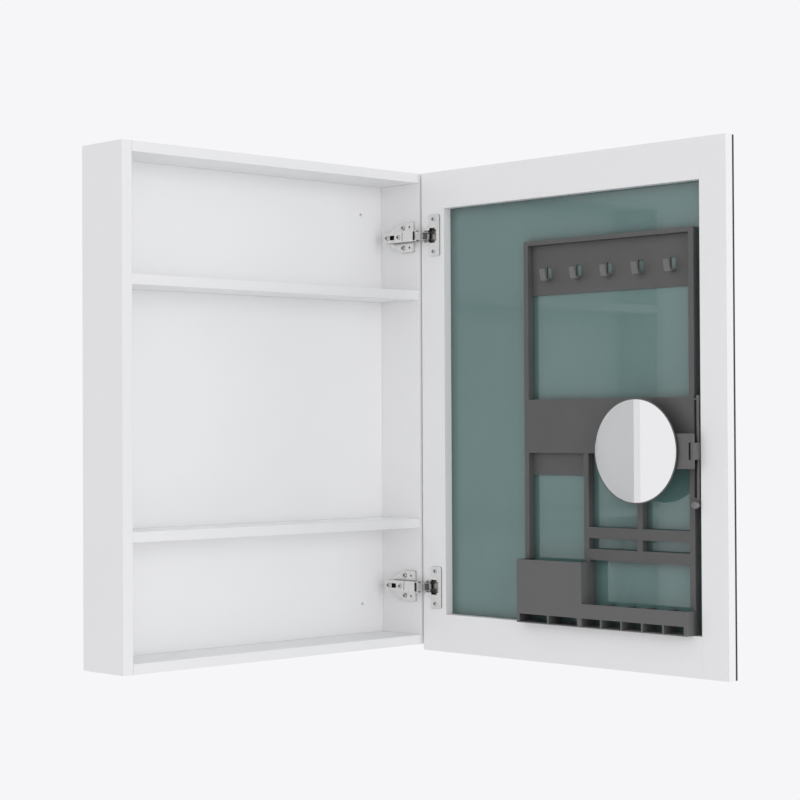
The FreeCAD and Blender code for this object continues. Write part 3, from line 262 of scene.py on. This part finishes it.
def beechPaint():
    paint = Paint("beechDowel")
    grain = paint.streaks(beech["grainScale"], beech["grainDetail"])
    paint.give(
        color=paint.blend(paint.ramp(grain, beech["colorSpan"]), beech["light"], beech["dark"]),
        rough=paint.ramp(grain, beech["roughSpan"], beech["rough"]),
        normal=paint.bump(grain, beech["grainDepth"], beech["grainStrength"]),
    )
    return paint.material


# the door's glass: silvered in front, sealed behind with a grey-green paint that carries painted
# shadow beside what touches it, bare at the edges
pane = {
    "backPaint": (0.120, 0.219, 0.208, 1),
    "backShade": (0.114, 0.210, 0.199, 1),
    "contactShade": (0.062, 0.115, 0.109, 1),
    "contactShadeReach": 0.025,
    "contactShadeSpan": (0.5, 0.92),
    "silver": (0.86, 0.875, 0.87, 1),
    "edge": (0.004, 0.005, 0.005, 1),
    "rim": 0.0004,
    "cloudScale": 5.0,
    "cloudDetail": 3.0,
    "cloudSpan": (0.35, 0.65),
    "waveDepth": 0.0002,
    "waveStrength": 0.01,
    "wipeScale": (3.0, 14.0, 3.0),
    "wipeDetail": 4.0,
    "wipeSpan": (0.4, 0.75),
    "wipeRough": (0.0, 0.006),
    "backRough": 0.02,
    "silverRough": 0.015,
    "edgeRough": 0.18,
    "coatRough": 0.008,
}


def panePaint():
    paint = Paint("mirrorPane")
    low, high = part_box("door_mirror")
    across = paint.axis("X")
    isFront = across > high.x - pane["rim"]
    isBack = across < low.x + pane["rim"]
    clouds = paint.noise(pane["cloudScale"], pane["cloudDetail"])
    wipes = paint.streaks(pane["wipeScale"], pane["wipeDetail"])
    cloudy = paint.ramp(clouds, pane["cloudSpan"])
    back = paint.blend(cloudy, pane["backPaint"], pane["backShade"])
    # painted shadow on the back paint beside what touches it
    contactShade = paint.ramp(paint.openness(pane["contactShadeReach"]), pane["contactShadeSpan"], falling)
    back = paint.blend(contactShade, back, pane["contactShade"])
    smear = paint.ramp(wipes, pane["wipeSpan"], pane["wipeRough"])
    rough = pane["edgeRough"] - isFront * (pane["edgeRough"] - pane["silverRough"])
    rough = rough - isBack * (pane["edgeRough"] - pane["backRough"]) + smear
    paint.give(
        color=paint.blend(isFront, paint.blend(isBack, pane["edge"], back), pane["silver"]),
        rough=rough,
        metal=isFront,
        coat=isBack,
        coatRough=pane["coatRough"],
        normal=paint.bump(clouds, pane["waveDepth"], pane["waveStrength"]),
    )
    return paint.material


# silvered glass of the round mirror, bare at its edge
roundGlass = {
    "silver": (0.89, 0.89, 0.895, 1),
    "edge": (0.30, 0.33, 0.33, 1),
    "rim": 0.0003,
    "wipeScale": (3.0, 20.0, 8.0),
    "wipeDetail": 4.0,
    "wipeSpan": (0.45, 0.8),
    "wipeRough": (0.0, 0.015),
    "waveDepth": 0.0001,
    "waveStrength": 0.02,
    "silverRough": 0.01,
    "edgeRough": 0.2,
}


def roundGlassPaint():
    paint = Paint("makeUpGlass")
    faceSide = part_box("make_up_mirror_glass")[0].x
    isFront = paint.axis("X") < faceSide + roundGlass["rim"]
    wipes = paint.streaks(roundGlass["wipeScale"], roundGlass["wipeDetail"])
    smear = paint.ramp(wipes, roundGlass["wipeSpan"], roundGlass["wipeRough"])
    smoother = roundGlass["edgeRough"] - roundGlass["silverRough"]
    paint.give(
        color=paint.blend(isFront, roundGlass["edge"], roundGlass["silver"]),
        rough=roundGlass["edgeRough"] - isFront * smoother + smear,
        metal=isFront,
        normal=paint.bump(wipes, roundGlass["waveDepth"], roundGlass["waveStrength"]),
    )
    return paint.material


# what the metals share: brush marks, spots, sheared edges dulled and darkened with painted shade,
# and painted shade in crevices
metal = {
    "brushDetail": 3.0,
    "brushSpan": (0.3, 0.7),
    "brushStrength": 0.4,
    "spotDetail": 3.0,
    "spotSpan": (0.35, 0.7),
    "flats": "X",
    "flatSpan": (0.3, 0.75),
    "creviceShadeSpan": (0.3, 0.62),
}

# nickel plate on the hinges' pressed steel
nickel = {
    **metal,
    "bright": (0.80, 0.795, 0.785, 1),
    "dull": (0.745, 0.74, 0.73, 1),
    "cut": (0.06, 0.06, 0.059, 1),
    "creviceShade": (0.008, 0.008, 0.008, 1),
    "creviceShadeReach": 0.003,
    "brushScale": (260.0, 900.0, 2600.0),
    "brushDepth": 0.00001,
    "spotScale": 120.0,
    "easedEdge": 0.0003,
    "rough": (0.16, 0.28),
}

# the same plate in the hinges' cups, where a lighter, wider painted crevice shade keeps the well
# bright
cups = {**nickel, "creviceShade": (0.42, 0.42, 0.413, 1), "creviceShadeReach": 0.012}

# bare rolled steel of the links
rolled = {
    **metal,
    "bright": (0.52, 0.52, 0.515, 1),
    "dull": (0.44, 0.44, 0.435, 1),
    "cut": (0.38, 0.38, 0.376, 1),
    "creviceShade": (0.26, 0.26, 0.257, 1),
    "creviceShadeReach": 0.0012,
    "brushScale": (2200.0, 500.0, 300.0),
    "brushDepth": 0.00002,
    "spotScale": 260.0,
    "easedEdge": 0.0004,
    "rough": (0.40, 0.55),
}

# zinc plate on the screws, whose heads face two ways
zinc = {
    **metal,
    "bright": (0.70, 0.71, 0.72, 1),
    "dull": (0.62, 0.63, 0.64, 1),
    "cut": (0.12, 0.12, 0.122, 1),
    "flats": "XY",
    "creviceShade": (0.01, 0.01, 0.01, 1),
    "creviceShadeReach": 0.002,
    "brushScale": (700.0, 700.0, 700.0),
    "brushDepth": 0.00002,
    "spotScale": 500.0,
    "easedEdge": 0.0003,
    "rough": (0.24, 0.40),
}

# the screws' cross recesses: their walls painted near black as shade
recessShade = {
    **metal,
    "bright": (0.030, 0.030, 0.031, 1),
    "dull": (0.016, 0.016, 0.017, 1),
    "cut": (0.012, 0.012, 0.012, 1),
    "creviceShade": (0.006, 0.006, 0.006, 1),
    "creviceShadeReach": 0.001,
    "brushScale": (900.0, 900.0, 900.0),
    "brushDepth": 0.00002,
    "spotScale": 800.0,
    "easedEdge": 0.0001,
    "rough": (0.45, 0.65),
}


def metalPaint(name, look):
    paint = Paint(name)
    brush = paint.streaks(look["brushScale"], look["brushDetail"])
    spots = paint.noise(look["spotScale"], look["spotDetail"])
    plate = paint.blend(paint.ramp(spots, look["spotSpan"]), look["bright"], look["dull"])
    # the hinge plate's front lip is folded over, not cut
    along = paint.axis("Y")
    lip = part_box("upper_hinge_plate")[0].y
    onLip = (along > lip - look["easedEdge"]) * (along < lip + look["easedEdge"])
    # sheared edges and sides away from the flat faces: duller metal, darkened further with painted
    # shade
    shearedAndShaded = 1.0 - onLip
    for letter in look["flats"]:
        shearedAndShaded = shearedAndShaded * paint.ramp(paint.facing(letter), look["flatSpan"], falling)
    skin = paint.blend(shearedAndShaded, plate, look["cut"])
    # painted shade in crevices
    shadedCrevice = paint.ramp(paint.openness(look["creviceShadeReach"]), look["creviceShadeSpan"], falling)
    eased = paint.eased(look["easedEdge"])
    paint.give(
        color=paint.blend(shadedCrevice, skin, look["creviceShade"]),
        rough=paint.ramp(brush, look["brushSpan"], look["rough"]),
        metal=1.0,
        normal=paint.bump(brush, look["brushDepth"], look["brushStrength"], eased),
    )
    return paint.material


# what the grey finishes share: clouds, a fine grain, painted highlights on edges and painted shade
# in crevices
grey = {
    "cloudDetail": 3.0,
    "cloudSpan": (0.35, 0.65),
    "grainDetail": 2.0,
    "grainSpan": (0.3, 0.7),
    "grainStrength": 0.6,
    "edgeHighlightSpan": (0.72, 0.96),
    "proudLightFade": 0.004,
    "creviceShadeSpan": (0.25, 0.66),
}

# matt grey moulding with a fine sparked grain, painted light on the proud parts and painted
# highlights on its edges
moulding = {
    **grey,
    "light": (0.106, 0.106, 0.105, 1),
    "dark": (0.097, 0.097, 0.097, 1),
    "edge": (0.18, 0.18, 0.178, 1),
    "proudLight": (0.128, 0.128, 0.127, 1),
    "proudLightFrom": 0.2905,
    "creviceShade": (0.022, 0.022, 0.022, 1),
    "creviceShadeReach": 0.003,
    "cloudScale": 14.0,
    "grainScale": 2200.0,
    "grainDepth": 0.00004,
    "easedEdge": 0.0012,
    "rough": (0.40, 0.54),
}

# the same moulding on the hook rail, where the proud hooks get a stronger painted light
hooks = {**moulding, "proudLight": (0.165, 0.165, 0.163, 1), "proudLightFrom": 0.296}

# the rod and its knob: a dark grey coat, a little smoother than the moulding
coating = {
    **grey,
    "light": (0.120, 0.120, 0.120, 1),
    "dark": (0.108, 0.108, 0.109, 1),
    "edge": (0.30, 0.30, 0.298, 1),
    "proudLight": (0.19, 0.19, 0.189, 1),
    "proudLightFrom": 0.288,
    "creviceShade": (0.010, 0.010, 0.010, 1),
    "creviceShadeReach": 0.0022,
    "cloudScale": 60.0,
    "grainScale": 1500.0,
    "grainDepth": 0.00003,
    "easedEdge": 0.0005,
    "rough": (0.34, 0.46),
}


def greyPaint(name, look):
    paint = Paint(name)
    clouds = paint.noise(look["cloudScale"], look["cloudDetail"])
    grain = paint.noise(look["grainScale"], look["grainDetail"])
    skin = paint.blend(paint.ramp(clouds, look["cloudSpan"]), look["light"], look["dark"])
    # painted light: the parts standing proud are lighter
    proudRange = (look["proudLightFrom"] - look["proudLightFade"], look["proudLightFrom"])
    proudLight = paint.ramp(paint.axis("X"), proudRange, falling)
    eased = paint.eased(look["easedEdge"])
    # painted highlight along the edges
    edgeHighlight = paint.edgeHighlight(eased, look["edgeHighlightSpan"])
    proudAndEdgeLit = paint.blend(edgeHighlight, paint.blend(proudLight, skin, look["proudLight"]), look["edge"])
    # painted shade in crevices
    shadedCrevice = paint.ramp(paint.openness(look["creviceShadeReach"]), look["creviceShadeSpan"], falling)
    paint.give(
        color=paint.blend(shadedCrevice, proudAndEdgeLit, look["creviceShade"]),
        rough=paint.ramp(grain, look["grainSpan"], look["rough"]),
        normal=paint.bump(grain, look["grainDepth"], look["grainStrength"], eased),
    )
    return paint.material


finishes = {
    "satin_white_board": boardPaint(),
    "beech_dowel": beechPaint(),
    "mirror_pane": panePaint(),
    "make_up_glass": roundGlassPaint(),
    "nickel_steel": metalPaint("nickelSteel", nickel),
    "link_steel": metalPaint("linkSteel", rolled),
    "zinc_screw": metalPaint("zincScrew", zinc),
    "dark_steel": greyPaint("darkSteel", coating),
    "grey_moulding": greyPaint("greyMoulding", moulding),
}
cupFinish = metalPaint("cupNickel", cups)
ownFinishes = {
    "organiser_hook_rail": greyPaint("hookMoulding", hooks),
    "upper_hinge_cup": cupFinish,
    "lower_hinge_cup": cupFinish,
}
for part in frame["record"]["subparts"]:
    mesh = nodes[part["node"]].data
    mesh.materials.clear()
    mesh.materials.append(ownFinishes.get(part["node"], finishes[part["material_slot"]]))
print("finishes given:", len(finishes), "and", len(ownFinishes), "of their own")


# cross recesses in the heads of the hinges' screws, thin plates finished in painted shade, sized
# in shares of each head's width; the level arm is a little shallower, so that the arms share no
# face
crossRecess = {
    "length": 0.66,
    "width": 0.19,
    "depth": 0.02,
    "levelShare": 0.9,
    "mostTurn": math.pi / 2,
    "seed": 7,
    "digits": 4,
    "weld": 0.00001,
    "heads": {"cabinet": ["hinge_plate_screws", "hinge_arm_screws"], "door": ["hinge_cup_screws"]},
}


def headSpots(node):
    # middle and width of the head of every screw in a node; all of them face the same way
    work = bmesh.new()
    work.from_mesh(nodes[node].data)
    bmesh.ops.remove_doubles(work, verts=work.verts, dist=crossRecess["weld"])
    left = set(work.verts)
    spots = []
    while left:
        group = [left.pop()]
        for vertex in group:
            for edge in vertex.link_edges:
                other = edge.other_vert(vertex)
                if other in left:
                    left.remove(other)
                    group.append(other)
        low = Vector([min(vertex.co[i] for vertex in group) for i in range(3)])
        high = Vector([max(vertex.co[i] for vertex in group) for i in range(3)])
        middle = (low + high) / 2
        spots.append((Vector((low.x, middle.y, middle.z)), high.z - low.z))
    work.free()
    # in a fixed order, so that each run draws the same turns
    return sorted(spots, key=lambda spot: spot[0].to_tuple(crossRecess["digits"]))


def recessTree():
    tree = bpy.data.node_groups.new("crossRecess", "GeometryNodeTree")
    kinds = {
        "heads": "Geometry",
        "length": "Float",
        "width": "Float",
        "depth": "Float",
        "seed": "Int",
        "finish": "Material",
    }
    inputs = {}
    for name, kind in kinds.items():
        socketType = "NodeSocket" + kind
        socket = tree.interface.new_socket(name, in_out="INPUT", socket_type=socketType)
        inputs[name] = socket.identifier
    tree.interface.new_socket("recesses", in_out="OUTPUT", socket_type="NodeSocketGeometry")
    start = addNode(tree, "NodeGroupInput")
    end = addNode(tree, "NodeGroupOutput")
    heads, length, width, depth, seed, finish = (start.outputs[name] for name in kinds)
    levelDepth = Num(tree, depth) * crossRecess["levelShare"]
    upright = addNode(tree, "ShaderNodeCombineXYZ", sockets={0: depth, 1: width, 2: length})
    level = addNode(tree, "ShaderNodeCombineXYZ", sockets={0: levelDepth, 1: length, 2: width})
    arms = addNode(tree, "GeometryNodeJoinGeometry")
    for size in (upright, level):
        arm = addNode(tree, "GeometryNodeMeshCube", sockets={"Size": size.outputs[0]})
        tree.links.new(arm.outputs["Mesh"], arms.inputs[0])
    number = {"data_type": "FLOAT"}
    turns = {2: 0.0, 3: crossRecess["mostTurn"], "Seed": seed}
    twist = addNode(tree, "FunctionNodeRandomValue", number, turns)
    turn = addNode(tree, "ShaderNodeCombineXYZ", sockets={0: twist.outputs[1]})
    head = addNode(tree, "GeometryNodeInputNamedAttribute", number, {"Name": "headWidth"})
    size = addNode(tree, "ShaderNodeCombineXYZ", sockets={i: head.outputs[0] for i in range(3)})
    spread = addNode(tree, "GeometryNodeInstanceOnPoints", sockets={
        "Points": heads,
        "Instance": arms.outputs[0],
        "Rotation": turn.outputs[0],
        "Scale": size.outputs[0],
    })
    real = addNode(tree, "GeometryNodeRealizeInstances", sockets={0: spread.outputs[0]})
    coat = {"Geometry": real.outputs[0], "Material": finish}
    dressed = addNode(tree, "GeometryNodeSetMaterial", sockets=coat)
    tree.links.new(dressed.outputs[0], end.inputs[0])
    return tree, inputs


def buildRecesses():
    tree, inputs = recessTree()
    # the recesses' near-black finish is painted shade
    finish = metalPaint("recessShade", recessShade)
    for body, screws in crossRecess["heads"].items():
        spots = [spot for node in screws for spot in headSpots(node)]
        seats = bpy.data.meshes.new(body + "Heads")
        seats.from_pydata([place for place, width in spots], [], [])
        widths = seats.attributes.new("headWidth", "FLOAT", "POINT")
        for i, (place, width) in enumerate(spots):
            widths.data[i].value = width
        maker = bpy.data.objects.new(body + "Heads", seats)
        scene.collection.objects.link(maker)
        modifier = maker.modifiers.new("recesses", "NODES")
        modifier.node_group = tree
        for name in ("length", "width", "depth", "seed"):
            modifier[inputs[name]] = crossRecess[name]
        modifier[inputs["finish"]] = finish
        ready = maker.evaluated_get(bpy.context.evaluated_depsgraph_get())
        mesh = bpy.data.meshes.new_from_object(ready)
        maker.modifiers.remove(modifier)
        bpy.data.objects.remove(maker)
        mesh.materials.clear()
        mesh.materials.append(finish)
        mesh.polygons.foreach_set("material_index", [0] * len(mesh.polygons))
        piece = bpy.data.objects.new(body + "Recesses", mesh)
        scene.collection.objects.link(piece)
        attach(piece, body)
        print("recesses on", body + ":", len(spots), "heads,", len(mesh.polygons), "faces")


buildRecesses()


# a white surround: soft even light, shown a little brighter than it lights
surround = {
    "light": (1.0, 1.0, 1.008, 1),
    "lightStrength": 0.785,
    "backdrop": (0.922, 0.922, 0.939, 1),
    "backdropStrength": 1.0,
    "seenBy": ("Is Camera Ray", "Is Glossy Ray", "Is Transmission Ray"),
}


def seenRays(tree):
    # one for a ray from the camera, also by way of metal or glass
    rays = addNode(tree, "ShaderNodeLightPath").outputs
    direct, mirrored, passed = (Num(tree, rays[name]) for name in surround["seenBy"])
    return direct + mirrored + passed


def buildSurround():
    world = bpy.data.worlds.new("surround")
    scene.world = world
    world.use_nodes = True
    tree = world.node_tree
    tree.nodes.clear()
    seen = seenRays(tree)
    light = {"Color": surround["light"], "Strength": surround["lightStrength"]}
    lit = addNode(tree, "ShaderNodeBackground", sockets=light)
    backdrop = {"Color": surround["backdrop"], "Strength": surround["backdropStrength"]}
    shown = addNode(tree, "ShaderNodeBackground", sockets=backdrop)
    layers = {0: seen, 1: lit.outputs[0], 2: shown.outputs[0]}
    mix = addNode(tree, "ShaderNodeMixShader", sockets=layers)
    out = addNode(tree, "ShaderNodeOutputWorld")
    tree.links.new(mix.outputs[0], out.inputs["Surface"])


# a pale floor well below the wall-hung cabinet; away from its shadow it fades into the backdrop
ground = {
    "drop": 1.3,
    "half": 30.0,
    "pale": (0.90, 0.90, 0.91, 1),
    "dull": (0.88, 0.88, 0.89, 1),
    "cloudScale": 1.5,
    "cloudDetail": 3.0,
    "cloudDepth": 0.0005,
    "cloudStrength": 0.1,
    "roughSpan": (0.3, 0.7),
    "rough": (0.75, 0.85),
    "fadeSpan": (0.3, 2.0),
    "fade": (0.55, 1.0),
}


def buildFloor():
    half = ground["half"]
    mesh = bpy.data.meshes.new("floor")
    corners = [(-half, -half, 0), (half, -half, 0), (half, half, 0), (-half, half, 0)]
    mesh.from_pydata(corners, [], [(0, 1, 2, 3)])
    floor = bpy.data.objects.new("floor", mesh)
    floor.location.z = cadBox[0].z - ground["drop"]
    scene.collection.objects.link(floor)
    paint = Paint("paleFloor")
    clouds = paint.noise(ground["cloudScale"], ground["cloudDetail"])
    paint.give(
        color=paint.blend(clouds, ground["pale"], ground["dull"]),
        rough=paint.ramp(clouds, ground["roughSpan"], ground["rough"]),
        normal=paint.bump(clouds, ground["cloudDepth"], ground["cloudStrength"]),
    )
    seen = seenRays(paint.tree)
    reach = paint.add("ShaderNodeVectorMath", {"operation": "LENGTH"}, {0: paint.coords})
    away = Num(paint.tree, reach.outputs["Value"])
    fade = paint.ramp(away, ground["fadeSpan"], ground["fade"])
    backdrop = {"Color": surround["backdrop"], "Strength": surround["backdropStrength"]}
    glow = paint.add("ShaderNodeEmission", sockets=backdrop)
    layers = {0: seen * fade, 1: paint.shader.outputs[0], 2: glow.outputs[0]}
    mix = paint.add("ShaderNodeMixShader", sockets=layers)
    paint.tree.links.new(mix.outputs[0], paint.out.inputs["Surface"])
    mesh.materials.append(paint.material)


# one large soft lamp in front
frontLight = {
    "place": (-0.5, -5.0, 0.4),
    "target": (0, -0.3, 0),
    "size": 3.0,
    "power": 53.0,
}


def buildLamp():
    light = bpy.data.lights.new("frontLight", "AREA")
    light.shape = "SQUARE"
    light.size = frontLight["size"]
    light.energy = frontLight["power"]
    holder = bpy.data.objects.new("frontLight", light)
    scene.collection.objects.link(holder)
    holder.location = frontLight["place"]
    aim = Vector(frontLight["target"]) - Vector(frontLight["place"])
    holder.rotation_mode = "QUATERNION"
    holder.rotation_quaternion = aim.to_track_quat("-Z", "Y")


buildSurround()
buildFloor()
buildLamp()
print("studio set")


# the camera stands low and to the left, on the line found from the cabinet's corners
view = {
    "place": (-2.02819, -2.45135, -0.03293),
    "yaw": 0.76715,
    "pitch": 0.0142,
    "roll": -0.00508,
    "lens": 91.6956,
    "sensor": 36.0,
    "near": 0.05,
    "far": 200.0,
}


def buildCamera():
    camera = bpy.data.cameras.new("camera")
    camera.lens = view["lens"]
    camera.sensor_width = view["sensor"]
    camera.sensor_fit = "HORIZONTAL"
    camera.clip_start = view["near"]
    camera.clip_end = view["far"]
    camera.dof.use_dof = False
    holder = bpy.data.objects.new("camera", camera)
    scene.collection.objects.link(holder)
    yaw, pitch, roll = view["yaw"], view["pitch"], view["roll"]
    level = math.cos(pitch)
    ahead = Vector((math.sin(yaw) * level, math.cos(yaw) * level, math.sin(pitch)))
    side = ahead.cross(Vector((0, 0, 1))).normalized()
    up = side.cross(ahead)
    tiltedSide = side * math.cos(roll) + up * math.sin(roll)
    tiltedUp = up * math.cos(roll) - side * math.sin(roll)
    turn = Matrix((tiltedSide, tiltedUp, -ahead)).transposed()
    holder.rotation_mode = "QUATERNION"
    holder.rotation_quaternion = turn.to_quaternion()
    holder.location = view["place"]
    scene.camera = holder


buildCamera()
scene.view_settings.view_transform = "Standard"
print("camera set")
